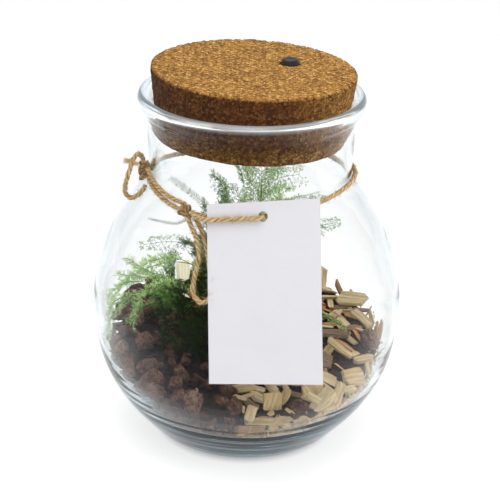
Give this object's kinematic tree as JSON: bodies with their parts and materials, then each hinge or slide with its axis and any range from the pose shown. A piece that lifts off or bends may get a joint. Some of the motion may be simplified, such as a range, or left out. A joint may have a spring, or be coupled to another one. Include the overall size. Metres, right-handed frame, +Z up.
{
  "type": "glass plant terrarium",
  "caption": "Round glass jar terrarium with a flared lip, a cork stopper with a lamp button, a lace fern over lava rock and wood chips, and a blank hang tag on twine.",
  "frame": {"origin": "centre of the jar's flat base, on the surface it stands on", "axes": "+Z up along the jar's axis, -Y towards the side the tag hangs on"},
  "size_m": [0.16, 0.1717, 0.1997],
  "materials": {
    "glass": "clear, slightly wavy",
    "cork": "granulated cork, dull",
    "button": "satin black",
    "lamp_plastic": "satin",
    "diffuser": "frosted",
    "board": "solder mask",
    "steel": "bright",
    "soil": "moist soil",
    "lava": "rough and porous",
    "chips": "split, dry",
    "fern": "living leaf",
    "jute": "fuzzy twine",
    "card": "matt, blank"
  },
  "bodies": {
    "root": {"glass_jar": "glass", "cork_stopper": "cork", "lamp_housing": "lamp_plastic", "lamp_diffuser": "diffuser", "led_board": "board", "tact_switch": "button", "coin_cell": "steel", "root_ball": "soil", "lava_bed": "lava", "chip_bed": "chips", "ribbed_wood_chip": "chips", "fern_crown": "fern", "frayed_end": "jute", "neck_knot": "jute", "tag_knot": "jute", "hang_tag": "card", "lava_rock_01": "lava", "lava_rock_02": "lava", "lava_rock_03": "lava", "lava_rock_04": "lava", "lava_rock_05": "lava", "lava_rock_06": "lava", "lava_rock_07": "lava", "lava_rock_08": "lava", "lava_rock_09": "lava", "lava_rock_10": "lava", "lava_rock_11": "lava", "lava_rock_12": "lava", "lava_rock_13": "lava", "lava_rock_14": "lava", "wood_chip_01": "chips", "wood_chip_02": "chips", "wood_chip_03": "chips", "wood_chip_04": "chips", "wood_chip_05": "chips", "wood_chip_06": "chips", "wood_chip_07": "chips", "wood_chip_08": "chips", "wood_chip_09": "chips", "wood_chip_10": "chips", "wood_chip_11": "chips", "wood_chip_12": "chips", "wood_chip_13": "chips", "fern_frond_top": "fern", "fern_frond_right": "fern", "fern_frond_low_right": "fern", "fern_frond_back": "fern", "fern_frond_left": "fern", "fern_frond_wall": "fern", "fern_frond_mid_left": "fern", "fern_frond_low_left": "fern", "fern_frond_middle": "fern", "fern_frond_left_tip": "fern", "fern_frond_high_left": "fern", "neck_twine": "jute", "tied_twine": "jute", "twine_loop": "jute", "hanging_twine": "jute", "tag_string": "jute"},
    "lamp_button": {"push_button": "button"}
  },
  "joints": [
    {"name": "button_press", "type": "slide", "parent": "root", "child": "lamp_button", "axis": [-0.0314, 0, -0.9995], "range_m": [0, 0.001], "stiffness_N_per_m": 300}
  ]
}
